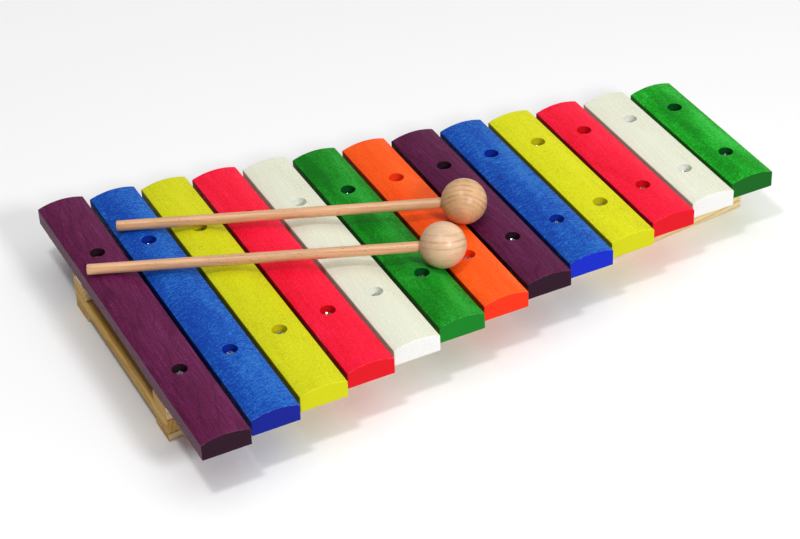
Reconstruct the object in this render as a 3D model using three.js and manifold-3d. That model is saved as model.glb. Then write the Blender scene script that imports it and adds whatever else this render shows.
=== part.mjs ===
// A child's diatonic xylophone: thirteen stained wooden bars on a pine frame, with two wooden mallets lying
// across them. Millimetres, +Z up. +X runs from the longest bar to the shortest, and +Y across the frame.
// The origin is on the surface the frame stands on, under the middle of the whole instrument.

import * as THREE from "three";
import { mergeVertices } from "three/addons/utils/BufferGeometryUtils.js";
import Module from "manifold-3d";

const wasm = await Module();
wasm.setup();

// ---------------------------------------------------------------------------------------------------------
// Driving dimensions

const FIT = 0.3; // clearance kept between neighbouring pieces

const BAR = {
  colours: [
    "purple", "blue", "yellow", "red", "white", "green", "orange",
    "purple", "blue", "yellow", "red", "white", "green",
  ],
  width: 30,
  gap: 2.4,
  longest: 262,
  shortest: 122,
  edgeHeight: 10.8, // side faces
  crownHeight: 13.5, // middle of the rounded top
  crownSteps: 12,
  holeRatio: 0.2485, // each hole's distance from the bar's middle, as a share of the bar's length
  undercutDepth: 1.0, // tuning arch under the middle
  undercutRatio: 0.36, // length of that arch, as a share of the bar's length
  undercutSteps: 8,
};

// The near screws sit higher than the far ones, on a shallower counterbore.
const HOLE = { counterbore: 9.2, shoulder: { near: 7.8, far: 6.9 }, clearance: 4.6, sides: 20 };

const SCREW = {
  headDiameter: 7.2,
  headHeight: 2.2,
  headRim: 1.0,
  shankDiameter: 3.5,
  pointLength: 3,
  length: 15,
  sides: 10,
};

const FELT = {
  thickness: 1.9,
  width: 10,
  inward: 2, // its middle line lies this much nearer the frame's middle than the screws
  startsAt: { near: 6.5, far: 0 }, // from the rail's left end
};

const RAIL = {
  width: 20,
  height: 25,
  inward: 1.4, // its middle line lies this much nearer the frame's middle than the screws
  insideFirstBar: 0.5, // from the first bar's outer side
  pastLastBar: 8.1, // from the last bar's middle line
  pilotDepth: 5.8,
};

const CROSS_PIECE = { thickness: 12, height: 9.5, aboveFloor: 5.5 };

const MALLET = {
  ballRadius: 14.2,
  shaftRadius: 3.3,
  length: 213.5, // middle of the ball to the plain end of the shaft
  boreDepth: 17,
  shaftSides: 14,
  ballSides: 24,
  ballSteps: 11,
  butt: 14.4, // where the shaft rests, measured from its plain end
};

// Each mallet's ball lies in the valley after this bar; across is the ball's place in Y.
const MALLETS = [
  { name: "mallet_1", valleyAfter: 7, across: -13, heading: -26.25 },
  { name: "mallet_2", valleyAfter: 6, across: -47.4, heading: -26.4 },
];

// ---------------------------------------------------------------------------------------------------------
// Places worked out from those

const PITCH = BAR.width + BAR.gap;
const COUNT = BAR.colours.length;
const MIDDLE_BAR = (COUNT + 1) / 2;
const BARS_UNDERSIDE = RAIL.height + FIT + FELT.thickness + FIT;

const SIDES = [["near", -1], ["far", 1]];

const barX = (number) => (number - MIDDLE_BAR) * PITCH;
const lengthAt = (x) => {
  const share = (x - barX(1)) / (barX(COUNT) - barX(1));
  return BAR.longest + share * (BAR.shortest - BAR.longest);
};
const holeY = (x) => BAR.holeRatio * lengthAt(x);

const LEFT_END = barX(1) - BAR.width / 2 + RAIL.insideFirstBar;
const RIGHT_END = barX(COUNT) + RAIL.pastLastBar;

const crownSagitta = BAR.crownHeight - BAR.edgeHeight;
const CROWN_RADIUS = (BAR.width ** 2 / 4 + crownSagitta ** 2) / (2 * crownSagitta);

// ---------------------------------------------------------------------------------------------------------
// Materials

const finish = (color, roughness, metalness = 0) =>
  new THREE.MeshStandardMaterial({ color, roughness, metalness });

const STAINS = {
  purple: finish(0x5a2346, 0.55),
  blue: finish(0x1f5fb8, 0.55),
  yellow: finish(0xdcd71e, 0.55),
  red: finish(0xf01e3c, 0.55),
  white: finish(0xe6e8d7, 0.6),
  green: finish(0x23a537, 0.55),
  orange: finish(0xff6428, 0.55),
};
const PINE = finish(0xe3c98f, 0.65);
const BEECH = finish(0xdcab7c, 0.5);
const WHITE_FELT = finish(0xf2f0ea, 0.95);
const PLATED_STEEL = finish(0xc8ccd0, 0.3, 1);

// ---------------------------------------------------------------------------------------------------------
// Solids

function solid(geometry) {
  const bare = geometry.clone();
  bare.deleteAttribute("normal");
  bare.deleteAttribute("uv");
  const merged = mergeVertices(bare, 1e-4);
  return new wasm.Manifold(
    new wasm.Mesh({
      numProp: 3,
      vertProperties: merged.attributes.position.array,
      triVerts: new Uint32Array(merged.index.array),
    }),
  );
}

function geometryOf(manifold) {
  const mesh = manifold.getMesh();
  const position = new THREE.BufferAttribute(new Float32Array(mesh.vertProperties), 3);
  return new THREE.BufferGeometry()
    .setAttribute("position", position)
    .setIndex(new THREE.BufferAttribute(new Uint32Array(mesh.triVerts), 1));
}

function named(name, geometry, material) {
  const mesh = new THREE.Mesh(geometry, material);
  mesh.name = name;
  return mesh;
}

// A solid of revolution about +Z. The profile's points are [radius, height], from the lower end of the axis
// to its upper end.
function turned(profile, sides) {
  const points = profile.map(([radius, height]) => new THREE.Vector2(radius, height));
  return new THREE.LatheGeometry(points, sides).rotateX(Math.PI / 2);
}

// A flat outline in X and Y, raised from one height to another.
function raised(outline, bottom, top) {
  const shape = new THREE.Shape(outline.map(([x, y]) => new THREE.Vector2(x, y)));
  const depth = top - bottom;
  return new THREE.ExtrudeGeometry(shape, { depth, bevelEnabled: false }).translate(0, 0, bottom);
}

// A block between two corners.
function block([x0, y0, z0], [x1, y1, z1]) {
  return new THREE.BoxGeometry(x1 - x0, y1 - y0, z1 - z0).translate(
    (x0 + x1) / 2,
    (y0 + y1) / 2,
    (z0 + z1) / 2,
  );
}

// ---------------------------------------------------------------------------------------------------------
// Bars

// The bar's end face, in X and Z, swept along Y: square below, with a rounded top.
function crownedSlab(length) {
  const half = BAR.width / 2;
  const outline = [new THREE.Vector2(-half, -1), new THREE.Vector2(half, -1)];
  const spread = Math.asin(half / CROWN_RADIUS);
  for (let step = 0; step <= BAR.crownSteps; step++) {
    const angle = spread * (1 - (2 * step) / BAR.crownSteps);
    const height = BAR.crownHeight - CROWN_RADIUS * (1 - Math.cos(angle));
    outline.push(new THREE.Vector2(CROWN_RADIUS * Math.sin(angle), height));
  }
  return new THREE.ExtrudeGeometry(new THREE.Shape(outline), { depth: length, bevelEnabled: false })
    .rotateX(Math.PI / 2)
    .translate(0, length / 2, 0);
}

// The bar's side face, in Y and Z, swept along X: flat below, with the shallow tuning arch in the middle.
function archedSlab(length) {
  const top = BAR.crownHeight + 1;
  const halfArch = (BAR.undercutRatio * length) / 2;
  const outline = [[-length / 2, 0]];
  for (let step = 0; step <= BAR.undercutSteps; step++) {
    const along = (2 * step) / BAR.undercutSteps - 1;
    outline.push([along * halfArch, BAR.undercutDepth * (1 - along ** 2)]);
  }
  outline.push([length / 2, 0], [length / 2, top], [-length / 2, top]);
  const reach = BAR.width + 2;
  return new THREE.ExtrudeGeometry(
    new THREE.Shape(outline.map(([y, z]) => new THREE.Vector2(y, z))),
    { depth: reach, bevelEnabled: false },
  )
    .rotateX(Math.PI / 2)
    .rotateZ(Math.PI / 2)
    .translate(-reach / 2, 0, 0);
}

function screwHole(shoulder) {
  const below = -1;
  const above = BAR.crownHeight + 1;
  const narrow = HOLE.clearance / 2;
  const wide = HOLE.counterbore / 2;
  return turned(
    [[0, below], [narrow, below], [narrow, shoulder], [wide, shoulder], [wide, above], [0, above]],
    HOLE.sides,
  );
}

function barGeometry(length) {
  let bar = solid(crownedSlab(length)).intersect(solid(archedSlab(length)));
  for (const [sideName, side] of SIDES) {
    const hole = screwHole(HOLE.shoulder[sideName]).translate(0, side * BAR.holeRatio * length, 0);
    bar = bar.subtract(solid(hole));
  }
  return geometryOf(bar);
}

// ---------------------------------------------------------------------------------------------------------
// Screws, each standing in a bar's hole with its head just over the shoulder

function screwGeometry() {
  const shank = SCREW.shankDiameter / 2;
  const head = SCREW.headDiameter / 2;
  return turned(
    [
      [0, -SCREW.length],
      [shank, -SCREW.length + SCREW.pointLength],
      [shank, 0],
      [head, 0],
      [head, SCREW.headRim],
      [head * 0.62, SCREW.headHeight],
      [0, SCREW.headHeight],
    ],
    SCREW.sides,
  );
}

// ---------------------------------------------------------------------------------------------------------
// Frame: two converging rails, each with a felt strip, let onto a cross-piece at each end

// A straight strip along the holes on one side, from some way past the rail's left end to its right end.
// Inward moves its middle line from the holes towards the frame's middle.
function stripGeometry(side, { width, inward, start = 0 }, bottom, top) {
  const edge = (x, offset) => [x, side * (holeY(x) - inward + offset)];
  const outline = [
    edge(LEFT_END + start, -width / 2),
    edge(RIGHT_END, -width / 2),
    edge(RIGHT_END, width / 2),
    edge(LEFT_END + start, width / 2),
  ];
  return raised(outline, bottom, top);
}

function drill(stock, side, radius, bottom, top) {
  let piece = stock;
  for (let number = 1; number <= COUNT; number++) {
    const x = barX(number);
    const hole = turned([[0, bottom], [radius, bottom], [radius, top], [0, top]], SCREW.sides);
    piece = piece.subtract(solid(hole.translate(x, side * holeY(x), 0)));
  }
  return piece;
}

function railGeometry(side) {
  const pilot = SCREW.shankDiameter / 2 + FIT;
  const { width, inward } = RAIL;
  let rail = solid(stripGeometry(side, { width, inward }, 0, RAIL.height));
  rail = drill(rail, side, pilot, RAIL.height - RAIL.pilotDepth, RAIL.height + 1);
  const slotBottom = CROSS_PIECE.aboveFloor - FIT;
  const slotTop = CROSS_PIECE.aboveFloor + CROSS_PIECE.height + FIT;
  const depth = CROSS_PIECE.thickness + FIT;
  const reach = BAR.longest;
  const slots = [
    block([LEFT_END - 1, -reach, slotBottom], [LEFT_END + depth, reach, slotTop]),
    block([RIGHT_END - depth, -reach, slotBottom], [RIGHT_END + 1, reach, slotTop]),
  ];
  for (const slot of slots) rail = rail.subtract(solid(slot));
  return geometryOf(rail);
}

function feltGeometry(side, start) {
  const bottom = RAIL.height + FIT;
  const top = bottom + FELT.thickness;
  const { width, inward } = FELT;
  const strip = solid(stripGeometry(side, { width, inward, start }, bottom, top));
  return geometryOf(drill(strip, side, SCREW.shankDiameter / 2 + FIT, bottom - 1, top + 1));
}

// The cross-piece between x0 and x1 runs out to the rails' outer faces.
function crossPieceGeometry(x0, x1) {
  const outer = (x) => holeY(x) - RAIL.inward + RAIL.width / 2;
  const outline = [[x0, -outer(x0)], [x1, -outer(x1)], [x1, outer(x1)], [x0, outer(x0)]];
  return raised(outline, CROSS_PIECE.aboveFloor, CROSS_PIECE.aboveFloor + CROSS_PIECE.height);
}

// ---------------------------------------------------------------------------------------------------------
// Mallets, made along +Z with the ball's middle at the origin and the shaft below it

function ballGeometry() {
  const bore = MALLET.shaftRadius + FIT;
  const radius = MALLET.ballRadius;
  const mouth = Math.asin(bore / radius);
  const boreEnd = MALLET.boreDepth - radius;
  const profile = [[0, boreEnd], [bore, boreEnd]];
  // The profile has a point at the ball's widest, so the equator lands on a step.
  const lower = Math.floor(MALLET.ballSteps / 2);
  const upper = MALLET.ballSteps - lower;
  for (let step = 0; step <= lower; step++) {
    const angle = mouth + (step / lower) * (Math.PI / 2 - mouth);
    profile.push([radius * Math.sin(angle), -radius * Math.cos(angle)]);
  }
  for (let step = 1; step < upper; step++) {
    const angle = ((1 + step / upper) * Math.PI) / 2;
    profile.push([radius * Math.sin(angle), -radius * Math.cos(angle)]);
  }
  profile.push([0, radius]);
  return turned(profile, MALLET.ballSides);
}

function shaftGeometry() {
  const top = MALLET.boreDepth - MALLET.ballRadius - FIT;
  const length = top + MALLET.length;
  return new THREE.CylinderGeometry(
    MALLET.shaftRadius,
    MALLET.shaftRadius,
    length,
    MALLET.shaftSides,
  )
    .rotateX(Math.PI / 2)
    .translate(0, 0, top - length / 2);
}

// A mallet at rest: the ball in the valley between two crowns, and the shaft on a crown near its plain end.
function malletGroup({ name, valleyAfter, across, heading }) {
  const reach = CROWN_RADIUS + MALLET.ballRadius + FIT;
  const crownCentre = BARS_UNDERSIDE + BAR.crownHeight - CROWN_RADIUS;
  const ballZ = crownCentre + Math.sqrt(reach ** 2 - (PITCH / 2) ** 2);
  const buttZ = BARS_UNDERSIDE + BAR.crownHeight + MALLET.shaftRadius + FIT;
  const slope = Math.asin((ballZ - buttZ) / (MALLET.length - MALLET.butt));

  const tilted = new THREE.Group();
  tilted.rotation.y = Math.PI / 2 - slope;
  tilted.add(named(name + "_head", ballGeometry(), BEECH));
  tilted.add(named(name + "_shaft", shaftGeometry(), BEECH));

  const placed = new THREE.Group();
  placed.position.set(barX(valleyAfter) + PITCH / 2, across, ballZ);
  placed.rotation.z = THREE.MathUtils.degToRad(heading);
  placed.add(tilted);
  return placed;
}

// ---------------------------------------------------------------------------------------------------------
// Assembly

const xylophone = new THREE.Group();

for (const [sideName, side] of SIDES) {
  xylophone.add(named("rail_" + sideName, railGeometry(side), PINE));
  xylophone.add(named("felt_" + sideName, feltGeometry(side, FELT.startsAt[sideName]), WHITE_FELT));
}
xylophone.add(
  named("cross_piece_left", crossPieceGeometry(LEFT_END, LEFT_END + CROSS_PIECE.thickness), PINE),
  named("cross_piece_right", crossPieceGeometry(RIGHT_END - CROSS_PIECE.thickness, RIGHT_END), PINE),
);

for (let number = 1; number <= COUNT; number++) {
  const tag = String(number).padStart(2, "0");
  const colour = BAR.colours[number - 1];
  const x = barX(number);

  const bar = named(`bar_${tag}_${colour}`, barGeometry(lengthAt(x)), STAINS[colour]);
  bar.position.set(x, 0, BARS_UNDERSIDE);
  xylophone.add(bar);

  for (const [sideName, side] of SIDES) {
    const screw = named(`screw_${tag}_${sideName}`, screwGeometry(), PLATED_STEEL);
    screw.position.set(x, side * holeY(x), BARS_UNDERSIDE + HOLE.shoulder[sideName] + FIT);
    xylophone.add(screw);
  }
}

for (const mallet of MALLETS) xylophone.add(malletGroup(mallet));

export default xylophone;
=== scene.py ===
"""The xylophone's looks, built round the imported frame: Blender 4.5, metres, the frame's own axes."""

import math

import bpy
import bmesh
from mathutils import Matrix, Vector, noise


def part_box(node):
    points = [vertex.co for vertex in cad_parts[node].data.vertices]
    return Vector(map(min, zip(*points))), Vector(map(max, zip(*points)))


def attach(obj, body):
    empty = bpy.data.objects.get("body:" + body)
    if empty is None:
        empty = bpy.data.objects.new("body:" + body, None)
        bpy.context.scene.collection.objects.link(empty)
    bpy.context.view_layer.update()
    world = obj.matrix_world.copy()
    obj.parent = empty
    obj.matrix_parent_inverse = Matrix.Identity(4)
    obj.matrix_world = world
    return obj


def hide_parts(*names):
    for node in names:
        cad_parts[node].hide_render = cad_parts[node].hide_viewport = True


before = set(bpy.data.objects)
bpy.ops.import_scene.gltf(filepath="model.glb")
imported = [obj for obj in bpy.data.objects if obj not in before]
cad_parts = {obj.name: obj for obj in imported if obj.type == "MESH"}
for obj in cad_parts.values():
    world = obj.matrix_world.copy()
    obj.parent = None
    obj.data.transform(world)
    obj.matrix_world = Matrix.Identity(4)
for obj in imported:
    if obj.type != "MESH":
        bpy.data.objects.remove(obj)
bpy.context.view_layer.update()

MM = 0.001

# ----------------------------------------------------------------------------------------------------------
# Dimensions the frame's boxes don't give, in metres

BAR_EDGE_HEIGHT = 10.8 * MM
BAR_EDGE_ROUNDING = 0.55 * MM
HOLE_RADIUS = 4.6 * MM
HOLE_LIP = 0.3 * MM
SHANK_HOLE_RADIUS = 2.3 * MM
ARCH_DEPTH = 1.0 * MM
ARCH_HALF_SHARE = 0.18  # half the tuning arch's length, as a share of the bar's length

SCREW_HEAD_RADIUS = 3.6 * MM
SCREW_HEAD_HEIGHT = 2.2 * MM
SCREW_CORE_RADIUS = 1.2 * MM
SCREW_THREAD_RADIUS = 1.74 * MM
SCREW_PITCH = 1.3 * MM
SCREW_LENGTH = 15 * MM
SCREW_POINT_LENGTH = 3 * MM

FRAME_GAP = 0.3 * MM
FRAME_ROUNDING = 0.6 * MM
PILOT_CLEARANCE = 0.25 * MM  # round a screw's thread in a rail
PILOT_EXTRA_DEPTH = 0.3 * MM
FELT_HOLE_CLEARANCE = 0.3 * MM
PRESS_ROOM = 0.28 * MM  # above the felts, so that a bar can be pressed down
CONTACT_GAP = 0.03 * MM  # left between pieces that rest on each other
OVERSHOOT = 1 * MM  # how far a cutter passes the faces it cuts

BALL_RADIUS = 14.17 * MM
SHAFT_RADIUS = 3.3 * MM

COLOURS = ["purple", "blue", "yellow", "red", "white", "green", "orange"]
BAR_NUMBERS = range(1, 14)
BARS = [(f"bar_{n:02d}", f"bar_{n:02d}_{COLOURS[(n - 1) % 7]}", COLOURS[(n - 1) % 7]) for n in BAR_NUMBERS]
SIDES = [("near", -1), ("far", 1)]
MALLETS = ["mallet_1", "mallet_2"]


# ----------------------------------------------------------------------------------------------------------
# Small helpers

def srgb(red, green, blue):
    """An 8-bit display colour as Blender's linear colour."""
    shares = [channel / 255 for channel in (red, green, blue)]
    linear = [c / 12.92 if c <= 0.04045 else ((c + 0.055) / 1.055) ** 2.4 for c in shares]
    return (*linear, 1.0)


def spread(start, end, steps):
    """Evenly spaced numbers from start up to end, without end itself."""
    return [start + (end - start) * k / steps for k in range(steps)]


def box_centre(node):
    low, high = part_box(node)
    return (low + high) / 2


def finished_object(name, mesh_or_bmesh, material, smooth_angle=38):
    """A new object in the scene from a bmesh or a mesh, smooth but for its sharp edges."""
    if isinstance(mesh_or_bmesh, bmesh.types.BMesh):
        mesh = bpy.data.meshes.new(name)
        bmesh.ops.recalc_face_normals(mesh_or_bmesh, faces=mesh_or_bmesh.faces)
        mesh_or_bmesh.to_mesh(mesh)
        mesh_or_bmesh.free()
    else:
        mesh = mesh_or_bmesh
    mesh.shade_smooth()
    mesh.set_sharp_from_angle(angle=math.radians(smooth_angle))
    mesh.materials.clear()
    mesh.materials.append(material)
    piece = bpy.data.objects.new(name, mesh)
    bpy.context.scene.collection.objects.link(piece)
    return piece


def even_shading(piece):
    """Flat faces stay flat beside their rounded edges."""
    modifier = piece.modifiers.new("even_shading", "WEIGHTED_NORMAL")
    modifier.keep_sharp = True
    modifier.weight = 80


def cut_away(piece, cutters):
    """Takes the cutters, which are objects, out of the piece, and deletes them."""
    for cutter in cutters:
        modifier = piece.modifiers.new("cut", "BOOLEAN")
        modifier.operation = "DIFFERENCE"
        modifier.solver = "EXACT"
        modifier.object = cutter
    bpy.context.view_layer.update()
    depsgraph = bpy.context.evaluated_depsgraph_get()
    made = bpy.data.meshes.new_from_object(piece.evaluated_get(depsgraph))
    piece.modifiers.clear()
    piece.data = made
    for cutter in cutters:
        bpy.data.objects.remove(cutter)


def stand_for(piece, body, slot, *nodes):
    """The piece rides on a body and is shown in place of the CAD nodes. The slot is not used."""
    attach(piece, body)
    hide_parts(*nodes)


def lathe(bm, profile, sides, closed_start=True, closed_end=True):
    """Turns (radius, height) points about Z, and closes the ends that are asked for with a fan."""
    rings = []
    for radius, height in profile:
        ring = []
        for angle in spread(0, 2 * math.pi, sides):
            ring.append(bm.verts.new((radius * math.cos(angle), radius * math.sin(angle), height)))
        rings.append(ring)
    for lower, upper in zip(rings, rings[1:]):
        bridge(bm, lower, upper)
    if closed_start:
        fan(bm, rings[0])
    if closed_end:
        fan(bm, rings[-1])
    return rings


def bridge(bm, first, second):
    """Joins two closed rings of as many vertices with quads."""
    count = len(first)
    for k in range(count):
        after = (k + 1) % count
        bm.faces.new((first[k], first[after], second[after], second[k]))


def capped(bm, rings):
    """Joins closed rings in turn, and closes the first and the last with a face each."""
    for first, second in zip(rings, rings[1:]):
        bridge(bm, first, second)
    bm.faces.new(rings[0])
    bm.faces.new(rings[-1])


def fan(bm, ring):
    """Closes a ring with triangles round its middle."""
    middle = sum((v.co for v in ring), Vector()) / len(ring)
    hub = bm.verts.new(middle)
    for k, vertex in enumerate(ring):
        bm.faces.new((vertex, ring[(k + 1) % len(ring)], hub))


def round_edges(bm, edges, width):
    bmesh.ops.bevel(
        bm, geom=edges, offset=width, offset_type="OFFSET", segments=3, profile=0.5,
        affect="EDGES", clamp_overlap=True,
    )


def sharp_edges(bm):
    """Edges whose faces turn by more than 50 degrees."""
    bm.normal_update()
    limit = math.radians(50)
    return [e for e in bm.edges if len(e.link_faces) == 2 and e.calc_face_angle() > limit]


# ----------------------------------------------------------------------------------------------------------
# Materials

class Shader:
    """A material's node tree, with short ways to add nodes. Patterns are in millimetres of the piece."""

    def __init__(self, name):
        self.material = bpy.data.materials.new(name)
        self.material.use_nodes = True
        self.tree = self.material.node_tree
        self.tree.nodes.clear()
        self.source = self.tree.nodes.new("ShaderNodeTexCoord")

    def put(self, socket, value):
        """Links an output to a socket, or sets the socket to a plain value."""
        if isinstance(value, bpy.types.NodeSocket):
            self.tree.links.new(value, socket)
        elif value is not None:
            socket.default_value = value

    def place(self, offset=(0, 0, 0), scale=(1, 1, 1), turn=None, warp=None):
        """Object coordinates, warped and turned if asked, then in millimetres, scaled and shifted."""
        start = self.source.outputs["Object"]
        if warp is not None:
            start = self.vector("ADD", start, warp)
        if turn is not None:
            rotation = self.tree.nodes.new("ShaderNodeVectorRotate")
            rotation.rotation_type = "EULER_XYZ"
            rotation.inputs["Rotation"].default_value = [math.radians(a) for a in turn]
            self.put(rotation.inputs["Vector"], start)
            start = rotation.outputs["Vector"]
        mapping = self.tree.nodes.new("ShaderNodeMapping")
        self.put(mapping.inputs["Vector"], start)
        mapping.inputs["Location"].default_value = offset
        mapping.inputs["Scale"].default_value = [s / MM for s in scale]
        return mapping.outputs["Vector"]

    def vector(self, operation, first, second):
        node = self.tree.nodes.new("ShaderNodeVectorMath")
        node.operation = operation
        self.put(node.inputs[0], first)
        if operation == "SCALE":
            self.put(node.inputs["Scale"], second)
        else:
            self.put(node.inputs[1], second)
        return node.outputs["Vector"]

    def math(self, operation, first, second=None):
        node = self.tree.nodes.new("ShaderNodeMath")
        node.operation = operation
        self.put(node.inputs[0], first)
        self.put(node.inputs[1], second)
        return node.outputs[0]

    def wander(self, where, reach):
        """A slow random shift of the pattern, about as many millimetres as its reach."""
        colour = self.noise(where, detail=2, colour=True)
        swing = 0.25  # how far the noise usually strays from its middle
        return self.vector("SCALE", self.vector("SUBTRACT", colour, (0.5, 0.5, 0.5)), reach * MM / swing)

    def centred(self, value, share):
        """A pattern's departure from its middle, times a share."""
        return self.math("MULTIPLY", self.math("SUBTRACT", value, 0.5), share)

    def noise(self, where, detail=3.0, roughness=0.55, colour=False):
        node = self.tree.nodes.new("ShaderNodeTexNoise")
        self.put(node.inputs["Vector"], where)
        node.inputs["Scale"].default_value = 1.0
        node.inputs["Detail"].default_value = detail
        node.inputs["Roughness"].default_value = roughness
        return node.outputs["Color"] if colour else node.outputs["Fac"]

    def cells(self, where):
        """Distance to the nearest of scattered points."""
        node = self.tree.nodes.new("ShaderNodeTexVoronoi")
        self.put(node.inputs["Vector"], where)
        node.inputs["Scale"].default_value = 1.0
        return node.outputs["Distance"]

    def radius(self, where):
        """Distance from the local Y axis."""
        split = self.tree.nodes.new("ShaderNodeSeparateXYZ")
        self.put(split.inputs[0], where)
        squares = [self.math("MULTIPLY", split.outputs[axis], split.outputs[axis]) for axis in ("X", "Z")]
        return self.math("SQRT", self.math("ADD", *squares))

    def facing(self, axis):
        """1 on faces square to a local axis, and 0 on faces along it."""
        split = self.tree.nodes.new("ShaderNodeSeparateXYZ")
        self.put(split.inputs[0], self.source.outputs["Normal"])
        return self.between(self.math("ABSOLUTE", split.outputs[axis]), 0.55, 0.85)

    def attribute(self, name):
        node = self.tree.nodes.new("ShaderNodeAttribute")
        node.attribute_name = name
        return node.outputs["Fac"]

    def between(self, value, low, high, low_out=0.0, high_out=1.0):
        """Maps a value smoothly from low..high to low_out..high_out, and holds it outside."""
        node = self.tree.nodes.new("ShaderNodeMapRange")
        node.interpolation_type = "SMOOTHSTEP"
        self.put(node.inputs["Value"], value)
        ends = {"From Min": low, "From Max": high, "To Min": low_out, "To Max": high_out}
        for socket, number in ends.items():
            node.inputs[socket].default_value = number
        return node.outputs["Result"]

    def blend(self, share, first, second):
        """The first colour where the share is 0, the second where it is 1."""
        node = self.tree.nodes.new("ShaderNodeMix")
        node.data_type = "RGBA"
        self.put(node.inputs[0], share)
        self.put(node.inputs[6], first)
        self.put(node.inputs[7], second)
        return node.outputs[2]

    def relief(self, height, depth):
        """A bump from a height of 0 to 1, depth millimetres deep."""
        node = self.tree.nodes.new("ShaderNodeBump")
        node.inputs["Distance"].default_value = depth * MM
        node.inputs["Strength"].default_value = 1.0
        self.put(node.inputs["Height"], height)
        return node.outputs["Normal"]

    def finish(self, colour, roughness, normal=None, specular=0.5, **constants):
        """The surface itself. The constants are Principled sockets' names, with _ for each space."""
        principled = self.tree.nodes.new("ShaderNodeBsdfPrincipled")
        self.put(principled.inputs["Base Color"], colour)
        self.put(principled.inputs["Roughness"], roughness)
        self.put(principled.inputs["Normal"], normal)
        self.put(principled.inputs["Specular IOR Level"], specular)
        for name, value in constants.items():
            principled.inputs[name.replace("_", " ")].default_value = value
        output = self.tree.nodes.new("ShaderNodeOutputMaterial")
        self.tree.links.new(principled.outputs["BSDF"], output.inputs["Surface"])
        return self.material


# Each stain: its colour where the wood took it lightly, fully and darkly, on end grain, and down in the
# holes with painted shade there (painted bounce light for white), then how strongly each pattern shows and
# how far the painted sheen leans across the top.
STAINS = {
    "purple": dict(
        light=(110, 41, 88), full=(95, 21, 67), dark=(73, 11, 49),
        end=(38, 0, 28), bore=(40, 18, 32),
        cloud=0.9, speckle=1.3, ripple=0.2, fibres=2.0,
        lines=0.40, specks=0.06, painted_sheen_lean=0.10, end_marks=0.60,
    ),
    "blue": dict(
        light=(43, 113, 195), full=(10, 80, 178), dark=(4, 58, 158),
        end=(0, 22, 140), bore=(6, 44, 160),
        cloud=1.3, speckle=2.4, ripple=2.4, fibres=0.5,
        lines=0.05, specks=0.05, painted_sheen_lean=0.18, end_marks=0.25,
    ),
    "yellow": dict(
        light=(220, 222, 38), full=(208, 209, 14), dark=(194, 190, 6),
        end=(203, 203, 4), bore=(200, 190, 10),
        cloud=0.7, speckle=1.7, ripple=0.3, fibres=0.8,
        lines=0.06, specks=0.55, painted_sheen_lean=-0.08, end_marks=0.15,
    ),
    "red": dict(
        light=(251, 38, 76), full=(246, 15, 53), dark=(226, 6, 34),
        end=(218, 0, 24), bore=(215, 5, 20),
        cloud=1.2, speckle=1.7, ripple=0.4, fibres=1.1,
        lines=0.06, specks=0.06, painted_sheen_lean=0.05, end_marks=0.15,
    ),
    "white": dict(
        light=(238, 240, 224), full=(227, 229, 208), dark=(213, 210, 185),
        end=(234, 234, 231), bore=(236, 238, 226),
        cloud=0.6, speckle=1.0, ripple=0.1, fibres=0.8,
        lines=0.10, specks=0.12, painted_sheen_lean=-0.16, end_marks=0.42,
    ),
    "green": dict(
        light=(38, 160, 50), full=(8, 136, 18), dark=(2, 108, 10),
        end=(0, 123, 24), bore=(2, 74, 28),
        cloud=2.6, speckle=2.2, ripple=0.9, fibres=0.8,
        lines=0.05, specks=0.08, painted_sheen_lean=0.08, end_marks=0.30,
    ),
    "orange": dict(
        light=(254, 108, 42), full=(251, 87, 15), dark=(240, 66, 6),
        end=(242, 45, 4), bore=(245, 60, 8),
        cloud=1.1, speckle=1.2, ripple=0.3, fibres=0.8,
        lines=0.06, specks=0.08, painted_sheen_lean=0.10, end_marks=0.15,
    ),
}
# Boards drawn lighter or darker than the rest: factors for the long faces and the end grain.
BOARD_TONES = {
    8: (0.84, 1.0), 9: (1.0, 2.0), 10: (1.12, 1.0), 11: (1.03, 1.0), 12: (1.05, 1.0), 13: (1.50, 0.58),
}
# A paler colour, drawn along the bars' edges in patches.
PALE_EDGE = srgb(226, 200, 160)


def toned(colour, factor):
    """A linear colour made lighter or darker, and kept below white."""
    return (*[min(0.97, c * factor) for c in colour[:3]], 1.0)


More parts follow.
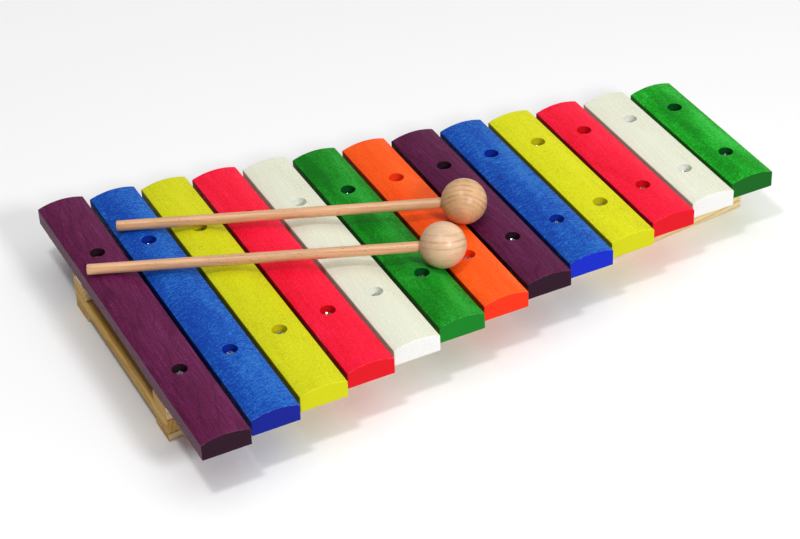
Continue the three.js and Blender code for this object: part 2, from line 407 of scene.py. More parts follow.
def stained_wood(name, colour, board):
    """Maple under a thin translucent stain. The grain runs along local Y, and each board is different."""
    stain = STAINS[colour]
    tone, end_tone = BOARD_TONES.get(board, (1.0, 1.0))
    light, full, dark = (toned(srgb(*stain[key]), tone) for key in ("light", "full", "dark"))
    end, bore = toned(srgb(*stain["end"]), end_tone), srgb(*stain["bore"])
    shader = Shader(name)
    shift = (board * 37.0, board * 91.0, board * 53.0)
    wander = shader.wander(shader.place(shift, (0.03, 0.008, 0.03)), reach=2.5)

    # Growth rings round a pith below the bar, a few degrees off its length, so they run out in long arches.
    is_quartered = colour == "white"
    pith = (-38, 0, 44) if is_quartered else (13 * math.sin(board * 2.1), 0, 36 + 8 * math.cos(board * 1.7))
    lean = (3.2 * math.cos(board * 2.6), 0, 0)
    radius = shader.radius(shader.place(pith, turn=lean, warp=wander))
    wave = shader.math("SINE", shader.math("MULTIPLY", radius, 3.1))
    lines = shader.between(wave, 0.80, 1.0)
    rings = shader.between(wave, -0.4, 1.0)

    cloud = shader.noise(shader.place(shift, (0.07, 0.017, 0.07)), detail=3)
    speckle = shader.noise(shader.place(shift, (1.05, 0.80, 1.05)), detail=2, roughness=0.5)
    ripple = shader.noise(shader.place(shift, (0.22, 1.25, 0.22), warp=wander), detail=2)
    fibres = shader.noise(shader.place(shift, (1.5, 0.03, 1.5), warp=wander), detail=4, roughness=0.6)

    # Short curled specks, in patches.
    curl = shader.noise(shader.place(shift, (0.55, 0.40, 0.55)), detail=1)
    curl = shader.between(shader.math("ABSOLUTE", shader.math("SUBTRACT", curl, 0.5)), 0.0, 0.03, 1.0, 0.0)
    patches = shader.between(shader.noise(shader.place(shift, (0.09, 0.05, 0.09)), detail=2), 0.45, 0.62)
    specks = shader.math("MULTIPLY", curl, patches)

    # How much stain the wood took: 0 least, 1 most, leaning across each top so that one side comes out
    # lighter: painted sheen.
    split = shader.tree.nodes.new("ShaderNodeSeparateXYZ")
    shader.put(split.inputs[0], shader.place())
    uptake_and_sheen = shader.between(split.outputs["X"], -15, 15, 0.5 + stain["painted_sheen_lean"], 0.5 - stain["painted_sheen_lean"])
    for pattern, share in ((cloud, "cloud"), (speckle, "speckle"), (ripple, "ripple"), (fibres, "fibres")):
        uptake_and_sheen = shader.math("ADD", shader.centred(pattern, stain[share]), uptake_and_sheen)
    lighter = shader.blend(shader.between(uptake_and_sheen, 0.0, 0.5), light, full)
    surface = shader.blend(shader.between(uptake_and_sheen, 0.5, 1.0), lighter, dark)
    deep = toned(dark, 0.6)
    surface = shader.blend(shader.math("MULTIPLY", lines, stain["lines"]), surface, toned(dark, 0.8))
    surface = shader.blend(shader.math("MULTIPLY", specks, stain["specks"]), surface, deep)

    # On end grain only the growth rings and the pores show, faintly.
    pores = shader.between(shader.noise(shader.place(shift, (1.6, 0.3, 1.6)), detail=2), 0.40, 0.65)
    end_marks = shader.math("MULTIPLY", shader.math("ADD", rings, pores), 0.5 * stain["end_marks"])
    across = shader.blend(end_marks, end, toned(end, 0.72))
    end_share = shader.facing("Y")
    surface = shader.blend(end_share, surface, across)

    # Long sides are drawn much darker, but for the first board's and the white boards': painted shade for
    # the narrow gaps between the bars.
    if board > 1 and colour != "white":
        gap_shade_share = shader.math("MULTIPLY", shader.facing("X"), 0.7)
        surface = shader.blend(gap_shade_share, surface, toned(dark, 0.2))

    # Screw holes take their own colour, over stain pooled there: painted shade in the darker holes, and
    # painted bounce light in the white ones.
    surface = shader.blend(shader.math("MULTIPLY", shader.attribute("bore"), 0.9), surface, bore)
    # Paler colour drawn here and there along the edges, in patches.
    edge_patches = shader.noise(shader.place(shift, (0.5, 0.05, 0.5)), detail=3)
    worn = shader.math("MULTIPLY", shader.attribute("edge"), shader.between(edge_patches, 0.50, 0.70, 0.0, 0.08))
    surface = shader.blend(worn, surface, PALE_EDGE)

    height = shader.math("ADD", shader.math("MULTIPLY", fibres, 0.6), shader.math("MULTIPLY", speckle, 0.4))
    normal = shader.relief(height, 0.06)
    roughness = shader.between(speckle, 0.3, 0.7, 0.42, 0.50)
    roughness = shader.math("ADD", roughness, shader.math("MULTIPLY", end_share, 0.12))
    return shader.finish(surface, roughness, normal, specular=0.15)


PALE_PINE = ((238, 216, 170), (228, 200, 148))
GOLDEN_PINE = ((222, 186, 108), (206, 164, 78))
STRAW_PINE = ((238, 224, 172), (230, 212, 152))


def pine(name, seed, along, tint, end_tint=GOLDEN_PINE, late_at_ends=0.5, pith=(-16, 0, 24)):
    """Planed pine along an axis: wide pale bands, narrow brown late wood, and a soft knotless figure."""
    shader = Shader(name)
    shift = (seed * 41.0, seed * 17.0, seed * 67.0)
    turn = (0, 0, 90) if along == "X" else (0, 0, 0)
    wander = shader.wander(shader.place(shift, (0.012, 0.012, 0.012)), reach=1.5)
    radius = shader.radius(shader.place(pith, turn=turn, warp=wander))
    end_share = shader.facing(along)
    turns = shader.math("FRACT", shader.math("MULTIPLY", radius, 0.36))
    late_wood = shader.between(turns, 0.55, 0.95)
    fibres = shader.noise(shader.place(shift, (1.8, 0.03, 1.8), turn, wander), detail=5, roughness=0.65)
    tone = shader.noise(shader.place(shift, (0.05, 0.02, 0.05), turn), detail=3)
    tone = shader.between(tone, 0.3, 0.7)
    long_faces = shader.blend(tone, *[srgb(*shade) for shade in tint])
    ends = shader.blend(tone, *[srgb(*shade) for shade in end_tint])
    pale = shader.blend(end_share, long_faces, ends)
    late_share = shader.between(end_share, 0.0, 1.0, 0.35, late_at_ends)
    surface = shader.blend(shader.math("MULTIPLY", late_wood, late_share), pale, srgb(158, 84, 26))
    surface = shader.blend(shader.between(fibres, 0.5, 0.8, 0.0, 0.30), surface, srgb(160, 104, 42))
    pores = shader.noise(shader.place(shift, (1.6, 1.6, 1.6)), detail=2)
    across = shader.blend(shader.between(pores, 0.4, 0.65), surface, srgb(176, 126, 56))
    surface = shader.blend(shader.math("MULTIPLY", end_share, 0.55), surface, across)
    late_height = shader.math("MULTIPLY", late_wood, 0.3)
    height = shader.math("ADD", shader.math("MULTIPLY", fibres, 0.7), late_height)
    normal = shader.relief(height, 0.09)
    roughness = shader.between(fibres, 0.3, 0.7, 0.55, 0.68)
    return shader.finish(surface, roughness, normal, specular=0.25)


def beech(name, seed, turn, pith, ring_scale, band, contrast, pale, brown, dashes):
    """Turned and sanded beech: faint rings, clearest in a band round the pith, and short dark dashes."""
    shader = Shader(name)
    shift = (seed * 23.0, seed * 61.0, seed * 31.0)
    wander = shader.wander(shader.place(shift, (0.06, 0.02, 0.06)), reach=0.5)
    radius = shader.radius(shader.place(pith, turn=turn, warp=wander))
    wave = shader.math("SINE", shader.math("MULTIPLY", radius, ring_scale))
    uneven = shader.noise(shader.place(shift, (0.12, 0.05, 0.12), turn), detail=3)
    rings = shader.math("MULTIPLY", shader.between(wave, 0.25, 1.0), shader.between(uneven, 0.30, 0.55))
    inside = shader.between(radius, band[0] - 2, band[0] + 2, 0.25, 1.0)
    outside = shader.between(radius, band[1] - 2, band[1] + 2, 1.0, 0.25)
    rings = shader.math("MULTIPLY", rings, shader.math("MULTIPLY", inside, outside))
    fibres = shader.noise(shader.place(shift, (1.8, 0.07, 1.8), turn, wander), detail=4, roughness=0.65)
    tone = shader.noise(shader.place(shift, (0.12, 0.02, 0.12), turn), detail=3)
    surface = shader.blend(shader.between(tone, 0.35, 0.65), srgb(*pale), toned(srgb(*pale), 0.84))
    surface = shader.blend(shader.math("MULTIPLY", rings, contrast), surface, srgb(*brown))
    surface = shader.blend(shader.between(fibres, 0.45, 0.8, 0.0, 0.40), surface, srgb(*brown))
    cells = shader.cells(shader.place(shift, (0.95, 0.25, 0.95), turn, wander))
    patches = shader.noise(shader.place(shift, (0.2, 0.05, 0.2), turn), detail=2)
    patches = shader.between(patches, 0.46, 0.56)
    marks = shader.math("MULTIPLY", shader.between(cells, 0.08, 0.20, dashes, 0.0), patches)
    surface = shader.blend(marks, surface, srgb(122, 70, 38))
    pits = shader.math("MULTIPLY", marks, 0.6)
    height = shader.math("SUBTRACT", shader.math("MULTIPLY", fibres, 0.5), pits)
    normal = shader.relief(height, 0.04)
    roughness = shader.between(fibres, 0.3, 0.7, 0.32, 0.40)
    return shader.finish(surface, roughness, normal, specular=0.45)


def white_felt(name):
    shader = Shader(name)
    tufts = shader.noise(shader.place((0, 0, 0), (1.4, 1.4, 1.4)), detail=6, roughness=0.75)
    hairs = shader.noise(shader.place((9, 4, 2), (4.0, 0.7, 4.0)), detail=4, roughness=0.7)
    soft = shader.math("ADD", shader.math("MULTIPLY", tufts, 0.6), shader.math("MULTIPLY", hairs, 0.4))
    surface = shader.blend(shader.between(soft, 0.35, 0.7), srgb(222, 220, 216), srgb(246, 245, 242))
    normal = shader.relief(soft, 0.5)
    return shader.finish(surface, 0.95, normal, specular=0.2, Sheen_Weight=0.4, Sheen_Roughness=0.5)


def plated_steel(name):
    shader = Shader(name)
    scuffs = shader.noise(shader.place((3, 5, 7), (1.2, 1.2, 6.0)), detail=5, roughness=0.7)
    surface = shader.blend(shader.between(scuffs, 0.4, 0.7), srgb(240, 242, 242), srgb(206, 210, 212))
    roughness = shader.between(scuffs, 0.3, 0.7, 0.18, 0.30)
    return shader.finish(surface, roughness, shader.relief(scuffs, 0.04), Metallic=1.0)


def pale_floor(name):
    shader = Shader(name)
    cloud = shader.noise(shader.place((0, 0, 0), (0.002, 0.002, 0.002)), detail=2)
    surface = shader.blend(cloud, srgb(252, 252, 252), srgb(250, 250, 251))
    return shader.finish(surface, 0.8, specular=0.15)


# ----------------------------------------------------------------------------------------------------------
# Bars

COLUMNS = 16  # across a bar; each hole's square patch takes the middle half of them
PATCH_SHARE = 0.5
PATCH_CELLS = COLUMNS // 2
HOLE_SIDES = 4 * PATCH_CELLS
ROWS_HIGH = 4  # up a bar's side
ROW_LENGTH = 6 * MM  # along a bar, away from its holes


class BarShape:
    """One bar's size, from its CAD node and its screws, with the shape of its top and underside."""

    def __init__(self, node, tag):
        low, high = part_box(node)
        self.width = high.x - low.x
        self.length = high.y - low.y
        self.height = high.z - low.z
        self.origin = Vector(((low.x + high.x) / 2, (low.y + high.y) / 2, low.z))
        self.hole_y = box_centre(f"screw_{tag}_far").y
        self.shoulders = [self.shoulder(f"screw_{tag}_{side_name}") for side_name, _ in SIDES]
        sagitta = self.height - BAR_EDGE_HEIGHT
        self.crown_radius = (self.width**2 / 4 + sagitta**2) / (2 * sagitta)

    def shoulder(self, screw):
        """How high above the bar's underside a screw's head stands in its hole."""
        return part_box(screw)[1].z - SCREW_HEAD_HEIGHT - self.origin.z - CONTACT_GAP

    def top(self, x):
        return self.height - self.crown_radius + math.sqrt(self.crown_radius**2 - x * x)

    def underside(self, y):
        share = y / (ARCH_HALF_SHARE * self.length)
        return ARCH_DEPTH * max(0.0, 1 - share * share)

    def rows(self):
        """Places along Y: even between the bar's ends, the holes' patches and its middle."""
        reach = self.width * PATCH_SHARE / 2
        stops = [-self.length / 2, -self.hole_y - reach, -self.hole_y + reach]
        stops += [-y for y in reversed(stops)]
        places = []
        for index, (start, end) in enumerate(zip(stops, stops[1:])):
            is_patch = index in (1, 3)
            steps = PATCH_CELLS if is_patch else max(2, round((end - start) / ROW_LENGTH))
            places += spread(start, end, steps)
        return places + [stops[-1]]


def bar_mesh(shape):
    """A bar as quads: rounded top, arched underside, and two counterbored holes."""
    bm = bmesh.new()
    # How far into a hole each vertex lies; the stained wood paints shade there, and bounce light in the
    # white bars.
    bore = bm.verts.layers.float.new("bore")
    columns = [shape.width * (i / COLUMNS - 0.5) for i in range(COLUMNS + 1)]
    rows = shape.rows()
    last_row = len(rows) - 1
    grid = {}

    def vertex(i, j, k):
        if (i, j, k) not in grid:
            low, high = shape.underside(rows[j]), shape.top(columns[i])
            grid[i, j, k] = bm.verts.new((columns[i], rows[j], low + (high - low) * k / ROWS_HIGH))
        return grid[i, j, k]

    first_column = (COLUMNS - PATCH_CELLS) // 2
    starts = [rows_at(rows, side * shape.hole_y - shape.width * PATCH_SHARE / 2) for _, side in SIDES]

    def in_patch(i, j):
        is_beside = first_column <= i < first_column + PATCH_CELLS
        return is_beside and any(start <= j < start + PATCH_CELLS for start in starts)

    def quad(*corners):
        bm.faces.new([vertex(*corner) for corner in corners])

    for k in (0, ROWS_HIGH):
        for i in range(COLUMNS):
            for j in range(last_row):
                if not in_patch(i, j):
                    quad((i, j, k), (i + 1, j, k), (i + 1, j + 1, k), (i, j + 1, k))
    for k in range(ROWS_HIGH):
        for j in range(last_row):
            for i in (0, COLUMNS):
                quad((i, j, k), (i, j, k + 1), (i, j + 1, k + 1), (i, j + 1, k))
        for i in range(COLUMNS):
            for j in (0, last_row):
                quad((i, j, k), (i + 1, j, k), (i + 1, j, k + 1), (i, j, k + 1))
    for start, (_, side), shoulder in zip(starts, SIDES, shape.shoulders):
        border = patch_border(first_column, start)
        top_border = [vertex(i, j, ROWS_HIGH) for i, j in border]
        bottom_border = [vertex(i, j, 0) for i, j in border]
        add_hole(bm, shape, side * shape.hole_y, shoulder, bore, top_border, bottom_border)

    bmesh.ops.recalc_face_normals(bm, faces=bm.faces)
    slack = 1e-6
    half_width, half_length = shape.width / 2 - slack, shape.length / 2 - slack
    outer = [
        e for e in sharp_edges(bm)
        if all(abs(v.co.x) > half_width or abs(v.co.y) > half_length for v in e.verts)
    ]
    round_edges(bm, outer, BAR_EDGE_ROUNDING)
    edge = bm.verts.layers.float.new("edge")
    for v in bm.verts:
        inset_x = shape.width / 2 - abs(v.co.x)
        inset_y = shape.length / 2 - abs(v.co.y)
        inset_z = min(shape.top(v.co.x) - v.co.z, v.co.z)
        nearest = sorted((inset_x, inset_y, inset_z))[1]  # close to two faces at once is on an edge
        v[edge] = 1.0 if nearest < 0.8 * BAR_EDGE_ROUNDING else 0.0
    return bm


def rows_at(rows, place):
    """The row that lies at a place along Y."""
    return min(range(len(rows)), key=lambda j: abs(rows[j] - place))


def patch_border(i0, j0):
    """The grid points round a hole's square patch, anticlockwise, from the middle of its +X side."""
    n, half = PATCH_CELLS, PATCH_CELLS // 2
    right = [(i0 + n, j0 + j) for j in range(half, n)]
    top = [(i0 + i, j0 + n) for i in range(n, 0, -1)]
    left = [(i0, j0 + j) for j in range(n, 0, -1)]
    bottom = [(i0 + i, j0) for i in range(n)]
    right_again = [(i0 + n, j0 + j) for j in range(half)]
    return right + top + left + bottom + right_again


def add_hole(bm, shape, y0, shoulder, bore, top_border, bottom_border):
    """A counterbored hole's rings, from the top's patch down to the underside's."""
    angles = spread(0, 2 * math.pi, HOLE_SIDES)
    floor_fillet, shank_chamfer = 0.1 * MM, 0.15 * MM

    def ring(radius, height, stained):
        """One ring of vertices; the height is a number, or a function of x and y."""
        made = []
        for angle in angles:
            x, y = radius * math.cos(angle), y0 + radius * math.sin(angle)
            z = height(x, y) if callable(height) else height
            vertex = bm.verts.new((x, y, z))
            vertex[bore] = stained
            made.append(vertex)
        return made

    def between(border, inner, share, height):
        """A ring part of the way from a hole's rim to its patch's border."""
        made = []
        for outside, inside in zip(border, inner):
            x = inside.co.x + (outside.co.x - inside.co.x) * share
            y = inside.co.y + (outside.co.y - inside.co.y) * share
            made.append(bm.verts.new((x, y, height(x, y))))
        return made

    def top(x, y):
        return shape.top(x)

    def below_top(depth):
        return lambda x, y: shape.top(x) - depth

    def underside(x, y):
        return shape.underside(y)

    rim = ring(HOLE_RADIUS + HOLE_LIP, top, 0.0)
    rings = [top_border, between(top_border, rim, 0.6, top), between(top_border, rim, 0.25, top), rim]
    for degrees in (30, 60, 90):
        angle = math.radians(degrees)
        radius = HOLE_RADIUS + HOLE_LIP * (1 - math.sin(angle))
        rings.append(ring(radius, below_top(HOLE_LIP * (1 - math.cos(angle))), degrees / 90))
    for share in (0.35, 0.7):
        rings.append(ring(HOLE_RADIUS, lambda x, y, s=share: shape.top(x) * (1 - s) + shoulder * s, 1.0))
    rings.append(ring(HOLE_RADIUS, shoulder + floor_fillet, 1.0))
    rings.append(ring(HOLE_RADIUS - floor_fillet, shoulder, 1.0))
    rings.append(ring(SHANK_HOLE_RADIUS + shank_chamfer, shoulder, 1.0))
    rings.append(ring(SHANK_HOLE_RADIUS, shoulder - shank_chamfer, 1.0))
    rings.append(ring(SHANK_HOLE_RADIUS, shoulder / 2, 1.0))
    foot = ring(SHANK_HOLE_RADIUS, underside, 1.0)
    rings.append(foot)
    for share in (0.15, 0.5):
        rings.append(between(bottom_border, foot, share, underside))
    rings.append(bottom_border)
    for upper, lower in zip(rings, rings[1:]):
        bridge(bm, upper, lower)


def make_bars():
    for number, (body, node, colour) in enumerate(BARS, start=1):
        tag = f"{number:02d}"
        shape = BarShape(node, tag)
        material = stained_wood(f"stained_{tag}_{colour}", colour, number)
        piece = finished_object(f"tone_bar_{tag}", bar_mesh(shape), material)
        piece.location = shape.origin
        even_shading(piece)
        stand_for(piece, body, "stain_" + colour, node)


# ----------------------------------------------------------------------------------------------------------
# Screws

def screw_mesh():
    """A cross-recess screw: domed head above the origin, threaded shank below it."""
    bm = bmesh.new()
    rim_chamfer, rim_height = 0.15 * MM, 0.75 * MM
    dome_angle, dome_steps, dome_fullness = math.radians(80), 9, 0.8
    head = [
        (SCREW_THREAD_RADIUS, 0.0),
        (SCREW_HEAD_RADIUS - rim_chamfer, 0.0),
        (SCREW_HEAD_RADIUS, rim_chamfer),
        (SCREW_HEAD_RADIUS, rim_height),
    ]
    for step in range(1, dome_steps + 1):
        angle = step / dome_steps * dome_angle
        rise = (SCREW_HEAD_HEIGHT - rim_height) * math.sin(angle) / math.sin(dome_angle)
        head.append((SCREW_HEAD_RADIUS * math.cos(angle) ** dome_fullness, rim_height + rise))
    sides = 48
    rings = lathe(bm, head, sides, closed_start=False)
    turns = int(SCREW_LENGTH / SCREW_PITCH)
    steps_per_turn = 6
    ridge_half_width = 0.28  # as a share of the pitch
    tip_radius = 0.05 * MM
    previous = rings[0]
    for step in range(1, turns * steps_per_turn + 1):
        depth = step * SCREW_PITCH / steps_per_turn
        taper = min(1.0, (SCREW_LENGTH - depth) / SCREW_POINT_LENGTH)
        ring = []
        for k, angle in enumerate(spread(0, 2 * math.pi, sides)):
            phase = (depth / SCREW_PITCH + k / sides) % 1.0
            ridge = max(0.0, 1 - abs(phase - 0.5) / ridge_half_width)
            radius = taper * (SCREW_CORE_RADIUS + (SCREW_THREAD_RADIUS - SCREW_CORE_RADIUS) * ridge)
            radius = max(radius, tip_radius)
            ring.append(bm.verts.new((radius * math.cos(angle), radius * math.sin(angle), -depth)))
        bridge(bm, previous, ring)
        previous = ring
    fan(bm, previous)
    return bm


def cross_recess_cutter(steel):
    """A tapering cross, standing in the top of the screw's head."""
    bm = bmesh.new()
    arm, width, depth = 2.5 * MM, 0.55 * MM, 1.7 * MM
    top, bottom = SCREW_HEAD_HEIGHT + OVERSHOOT, SCREW_HEAD_HEIGHT - depth
    levels = [(bottom, 0.55), (top, 1.25)]
    rings = []
    for height, size in levels:
        a, w = arm * size, width * (0.6 + 0.4 * size)
        outline = [(a, -w), (a, w), (w, w), (w, a), (-w, a), (-w, w), (-a, w), (-a, -w), (-w, -w), (-w, -a),
                   (w, -a), (w, -w)]
        rings.append([bm.verts.new((x, y, height)) for x, y in outline])
    capped(bm, rings)
    return finished_object("recess_cutter", bm, steel)


def make_screws():
    steel = plated_steel("bright_plated_steel")
    pattern = finished_object("screw_pattern", screw_mesh(), steel)
    cut_away(pattern, [cross_recess_cutter(steel)])
    mesh = pattern.data
    bpy.data.objects.remove(pattern)
    for number in BAR_NUMBERS:
        for index, (side, _) in enumerate(SIDES):
            node = f"screw_{number:02d}_{side}"
            low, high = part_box(node)
            screw = finished_object(f"bar_screw_{number:02d}_{side}", mesh, steel, smooth_angle=32)
            screw.location = ((low.x + high.x) / 2, (low.y + high.y) / 2, high.z - SCREW_HEAD_HEIGHT)
            screw.rotation_euler.z = math.radians(number * 67 + index * 38)  # each its own way
            stand_for(screw, "frame", "plated_steel", node)


# ----------------------------------------------------------------------------------------------------------
# Frame

class HoleLine:
    """The line through the bars' holes on one side, which the rail and felt follow."""

    def __init__(self, side_name, side):
        first, last = box_centre(f"screw_01_{side_name}"), box_centre(f"screw_13_{side_name}")
        self.side = side
        self.slope = (last.y - first.y) / (last.x - first.x)
        self.at_zero = first.y - self.slope * first.x

    def y(self, x, outward=0.0):
        """The line's place along Y, or that of a line so much further from the frame's middle."""
        return self.at_zero + self.slope * x + self.side * outward

    def faces(self, node):
        """How far outward of the line a strip's inner and outer faces lie, from its node's box."""
        low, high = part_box(node)
        widest, narrowest = max(abs(low.y), abs(high.y)), min(abs(low.y), abs(high.y))
        return narrowest - abs(self.y(high.x)), widest - abs(self.y(low.x))


def hole_cutters(side_name, radius, bottom, top):
    """One object of upright cylinders, on every screw of one side."""
    bm = bmesh.new()
    for number in BAR_NUMBERS:
        centre = box_centre(f"screw_{number:02d}_{side_name}")
        before = set(bm.verts)
        lathe(bm, [(radius, bottom), (radius, top)], 20)
        added = [vertex for vertex in bm.verts if vertex not in before]
        bmesh.ops.translate(bm, verts=added, vec=(centre.x, centre.y, 0))
    bmesh.ops.recalc_face_normals(bm, faces=bm.faces)
    mesh = bpy.data.meshes.new("holes")
    bm.to_mesh(mesh)
    bm.free()
    cutters = bpy.data.objects.new("hole_cutters", mesh)
    bpy.context.scene.collection.objects.link(cutters)
    return cutters


def slanted_bar(outline, line, faces):
    """Sweeps an outline in X and Z between two faces, sheared to follow the line of holes."""
    bm = bmesh.new()
    rings = [[bm.verts.new((x, line.y(x, outward), z)) for x, z in outline] for outward in faces]
    capped(bm, rings)
    bmesh.ops.recalc_face_normals(bm, faces=bm.faces)
    return bm


def make_rails():
    left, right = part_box("cross_piece_left"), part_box("cross_piece_right")
    slot_low, slot_high = left[0].z - FRAME_GAP, left[1].z + FRAME_GAP
    slot_left, slot_right = left[1].x + FRAME_GAP, right[0].x - FRAME_GAP
    looks = {
        "near": dict(late_at_ends=0.9, pith=(-9, 0, 34)),
        "far": dict(late_at_ends=0.5, pith=(20, 0, 12)),
    }
    for seed, (side_name, side) in enumerate(SIDES, start=4):
        node = f"rail_{side_name}"
        line = HoleLine(side_name, side)
        low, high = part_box(node)
        outline = [
            (low.x, low.z), (high.x, low.z), (high.x, slot_low), (slot_right, slot_low),
            (slot_right, slot_high), (high.x, slot_high), (high.x, high.z), (low.x, high.z),
            (low.x, slot_high), (slot_left, slot_high), (slot_left, slot_low), (low.x, slot_low),
        ]
        bm = slanted_bar(outline, line, line.faces(node))
        round_edges(bm, sharp_edges(bm), FRAME_ROUNDING)
        wood = pine(f"pine_{node}", seed, "X", PALE_PINE, **looks[side_name])
        rail = finished_object(f"frame_{node}", bm, wood)
        pilot_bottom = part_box(f"screw_01_{side_name}")[0].z - PILOT_EXTRA_DEPTH
        pilot_radius = SCREW_THREAD_RADIUS + PILOT_CLEARANCE
        cut_away(rail, [hole_cutters(side_name, pilot_radius, pilot_bottom, high.z + OVERSHOOT)])
        even_shading(rail)
        stand_for(rail, "frame", "pine", node)


def make_cross_pieces():
    line = HoleLine("far", 1)
    looks = {
        "left": dict(end_tint=GOLDEN_PINE, late_at_ends=0.5),
        "right": dict(end_tint=STRAW_PINE, late_at_ends=0.15),
    }
    for seed, end in enumerate(("left", "right"), start=9):
        node = f"cross_piece_{end}"
        low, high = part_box(node)
        outward = high.y - line.y(low.x)  # from the holes' line to the rails' outer faces
        plan = [(low.x, 1), (high.x, 1), (high.x, -1), (low.x, -1)]
        plan = [(x, side * line.y(x, outward)) for x, side in plan]
        bm = bmesh.new()
        rings = [[bm.verts.new((x, y, z)) for x, y in plan] for z in (low.z, high.z)]
        capped(bm, rings)
        bmesh.ops.recalc_face_normals(bm, faces=bm.faces)
        round_edges(bm, sharp_edges(bm), FRAME_ROUNDING)
        wood = pine(f"pine_{node}", seed, "Y", GOLDEN_PINE, **looks[end])
        piece = finished_object(f"frame_{node}", bm, wood)
        even_shading(piece)
        stand_for(piece, "frame", "pine", node)


def make_felts():
    """Pressed felt strips, a little uneven along their edges, from the rails to just below the bars."""
    felt = white_felt("white_pressed_felt")
    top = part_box(BARS[0][1])[0].z - PRESS_ROOM
    lengthwise_steps, across_steps, fray = 220, 8, 0.35 * MM
    section = [(share, 0.0) for share in spread(0, 1, across_steps)] + [(1.0, 0.0), (1.0, 0.5)]
    section += [(1 - share, 1.0) for share in spread(0, 1, across_steps)] + [(0.0, 1.0), (0.0, 0.5)]
    for seed, (side_name, side) in enumerate(SIDES, start=1):
        node = f"felt_{side_name}"
        line = HoleLine(side_name, side)
        low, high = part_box(node)
        inner, outer = line.faces(node)
        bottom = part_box(f"rail_{side_name}")[1].z + CONTACT_GAP
        bm = bmesh.new()
        rings = []
        for x in spread(low.x, high.x, lengthwise_steps) + [high.x]:
            ring = []
            for across, up in section:
                place = Vector((x * 400, across * 6 + seed * 7, up * 2))
                ragged = fray * noise.noise(place) if across in (0.0, 1.0) else 0.0
                dip = 0.10 * MM * abs(noise.noise(place * 0.6)) if up == 1.0 else 0.0
                outward = inner + fray + (outer - inner - 2 * fray) * across + ragged
                ring.append(bm.verts.new((x, line.y(x, outward), bottom + (top - bottom) * up - dip)))
            rings.append(ring)
        capped(bm, rings)
        strip = finished_object(f"felt_strip_{side_name}", bm, felt, smooth_angle=60)
        hole_radius = SCREW_THREAD_RADIUS + FELT_HOLE_CLEARANCE
        cut_away(strip, [hole_cutters(side_name, hole_radius, bottom - OVERSHOOT, top + OVERSHOOT)])
        stand_for(strip, "frame", "felt", node)


# ----------------------------------------------------------------------------------------------------------
# Mallets

def ball_mesh():
    """A turned ball about the origin, bored from below for its shaft, with a small worn mouth."""
    bm = bmesh.new()
    bore = SHAFT_RADIUS + 0.06 * MM
    bore_end, worn = 2.8 * MM, 0.35 * MM
    mouth = math.asin((bore + worn) / BALL_RADIUS)
    profile = [(bore, bore_end), (bore, -BALL_RADIUS * math.cos(mouth) + worn)]
    steps = 40
    for step in range(steps):
        angle = mouth + (math.pi - mouth) * step / steps
        profile.append((BALL_RADIUS * math.sin(angle), -BALL_RADIUS * math.cos(angle)))
    rings = lathe(bm, profile, 64, closed_end=False)
    pole = bm.verts.new((0, 0, BALL_RADIUS))
    last = rings[-1]
    for k, vertex in enumerate(last):
        bm.faces.new((vertex, last[(k + 1) % len(last)], pole))
    return bm


def shaft_mesh(length):
    """A dowel along Z from its plain end up into the ball, its cut edges just broken."""
    bm = bmesh.new()
    start, end = -length, 2.6 * MM
    broken = 0.35 * MM
    profile = [(SHAFT_RADIUS - broken, start), (SHAFT_RADIUS - 0.1 * MM, start + 0.12 * MM)]
    profile += [(SHAFT_RADIUS, start + broken)]
    lengthwise = 60
    profile += [(SHAFT_RADIUS, z) for z in spread(start + broken, end - broken, lengthwise)[1:]]
    profile += [(SHAFT_RADIUS, end - broken), (SHAFT_RADIUS - broken, end)]
    lathe(bm, profile, 40)
    return bm


# How each mallet's wood lies. The patterns are in the mallet's own axes: X along the shaft, Z up.
HEAD_FIGURES = {
    "mallet_1": dict(turn=(36, 0, 0), pith=(2, 0, 17), ring_scale=2.2, band=(17, 60), contrast=0.60,
                     pale=(220, 176, 130), brown=(166, 110, 64), dashes=0.7),
    "mallet_2": dict(turn=(0, 0, 90), pith=(-23, 0, 32), ring_scale=1.65, band=(38, 46), contrast=0.60,
                     pale=(228, 192, 156), brown=(178, 128, 94), dashes=0.3),
}
SHAFT_FIGURE = dict(turn=(0, 0, 90), pith=(-18, 0, 14), ring_scale=1.9, band=(0, 60), contrast=0.35,
                    pale=(228, 178, 134), brown=(180, 116, 74), dashes=0.9)


def make_mallets():
    for seed, mallet in enumerate(MALLETS, start=1):
        ball_centre = box_centre(f"{mallet}_head")
        shaft_centre = box_centre(f"{mallet}_shaft")
        direction = (ball_centre - shaft_centre).normalized()
        low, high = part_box(f"{mallet}_shaft")
        cap = 2 * SHAFT_RADIUS * math.sqrt(1 - direction.x**2)
        shaft_length = (high.x - low.x - cap) / abs(direction.x)
        reach = (ball_centre - shaft_centre).length + shaft_length / 2
        lying = Matrix.Rotation(math.pi / 2 - math.asin(direction.z), 4, "Y")

        head_wood = beech(f"beech_{mallet}_head", seed, **HEAD_FIGURES[mallet])
        shaft_wood = beech(f"beech_{mallet}_shaft", seed + 5, **SHAFT_FIGURE)
        head = finished_object(f"{mallet}_ball", ball_mesh(), head_wood, smooth_angle=60)
        shaft = finished_object(f"{mallet}_dowel", shaft_mesh(reach), shaft_wood, smooth_angle=50)
        for piece, node in ((head, f"{mallet}_head"), (shaft, f"{mallet}_shaft")):
            piece.data.transform(lying)
            piece.location = ball_centre
            piece.rotation_euler.z = math.atan2(direction.y, direction.x)
            stand_for(piece, mallet, "beech", node)


# ----------------------------------------------------------------------------------------------------------
# Camera, floor and lights

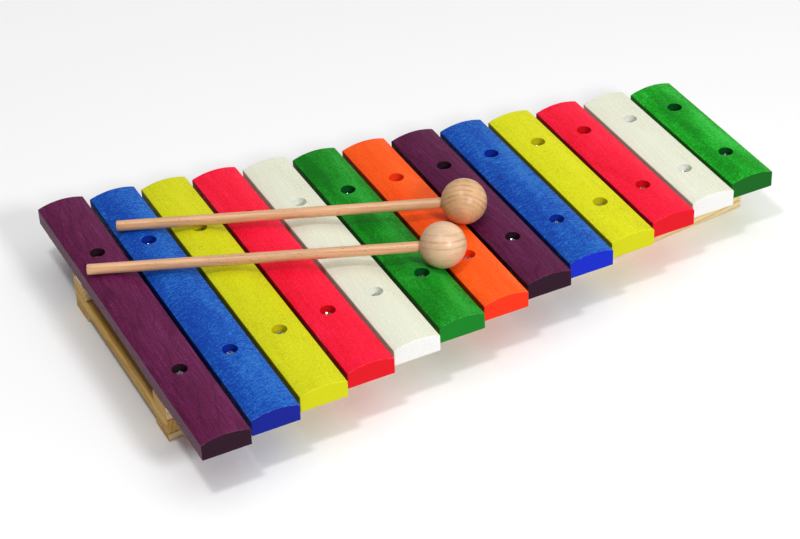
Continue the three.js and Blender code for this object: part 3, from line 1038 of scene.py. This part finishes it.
def make_camera():
    azimuth, elevation, roll = math.radians(25.21), math.radians(35.99), math.radians(-2.63)
    bars_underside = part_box(BARS[0][1])[0].z
    target = Vector((-34.57 * MM, -24.90 * MM, bars_underside))
    distance = 1459.9 * MM
    forward = Vector((
        math.sin(azimuth) * math.cos(elevation),
        math.cos(azimuth) * math.cos(elevation),
        -math.sin(elevation),
    ))
    level = forward.cross(Vector((0, 0, 1))).normalized()
    upright = level.cross(forward)
    right = math.cos(roll) * level + math.sin(roll) * upright
    up = right.cross(forward)
    data = bpy.data.cameras.new("camera")
    data.sensor_width = 36
    data.lens = 108.5
    data.clip_start, data.clip_end = 0.05, 60
    camera = bpy.data.objects.new("camera", data)
    bpy.context.scene.collection.objects.link(camera)
    axes = Matrix((right, up, -forward)).transposed().to_4x4()
    camera.matrix_world = Matrix.Translation(target - forward * distance) @ axes
    bpy.context.scene.camera = camera


def make_floor():
    bm = bmesh.new()
    half = 9.0
    bmesh.ops.create_grid(bm, x_segments=4, y_segments=4, size=half)
    floor = finished_object("studio_floor", bm, pale_floor("pale_floor"))
    floor.location.z = -0.2 * MM  # just clear of the rails, which stand at zero


def soft_box(name, place, aim, size, watts):
    data = bpy.data.lights.new(name, "AREA")
    data.shape = "RECTANGLE"
    data.size, data.size_y = size
    data.energy = watts
    lamp = bpy.data.objects.new(name, data)
    bpy.context.scene.collection.objects.link(lamp)
    lamp.location = place
    lamp.rotation_mode = "QUATERNION"
    lamp.rotation_quaternion = (Vector(aim) - Vector(place)).to_track_quat("-Z", "Y")
    lamp.visible_camera = False


# How bright the room is by direction: the sine of the height above the horizon, and the brightness there.
# It is darkest at the height that the bars' tops mirror into the camera, and brighter to the right.
ROOM = [(0.0, 0.45), (0.25, 0.35), (0.5, 0.20), (0.62, 0.22), (0.85, 1.0)]
ROOM_LEAN = 1.0


def make_room():
    world = bpy.data.worlds.new("white_room")
    world.use_nodes = True
    tree = world.node_tree
    direction = tree.nodes.new("ShaderNodeTexCoord")
    split = tree.nodes.new("ShaderNodeSeparateXYZ")
    ramp = tree.nodes.new("ShaderNodeValToRGB")
    lean = tree.nodes.new("ShaderNodeMath")
    lean.operation = "MULTIPLY_ADD"
    lean.inputs[1].default_value = ROOM_LEAN
    lean.inputs[2].default_value = 1.0
    while len(ramp.color_ramp.elements) < len(ROOM):
        ramp.color_ramp.elements.new(0.5)
    for element, (height, brightness) in zip(ramp.color_ramp.elements, ROOM):
        element.position = height
        element.color = (brightness, brightness, brightness, 1)
    background = tree.nodes["Background"]
    tree.links.new(direction.outputs["Generated"], split.inputs[0])
    tree.links.new(split.outputs["Z"], ramp.inputs["Fac"])
    tree.links.new(split.outputs["X"], lean.inputs[0])
    tree.links.new(ramp.outputs["Color"], background.inputs["Color"])
    tree.links.new(lean.outputs[0], background.inputs["Strength"])
    bpy.context.scene.world = world


def make_lights():
    make_room()
    soft_box("front_right", (0.29, -1.65, 1.09), (0, 0, 0.03), (0.34, 0.34), 19.5)
    soft_box("left_high", (-0.52, -0.30, 1.85), (0, 0, 0.03), (0.22, 0.22), 8.0)
    bpy.context.scene.view_settings.view_transform = "Standard"


# ----------------------------------------------------------------------------------------------------------

make_camera()
make_bars()
make_screws()
make_rails()
make_cross_pieces()
make_felts()
make_mallets()
make_floor()
make_lights()
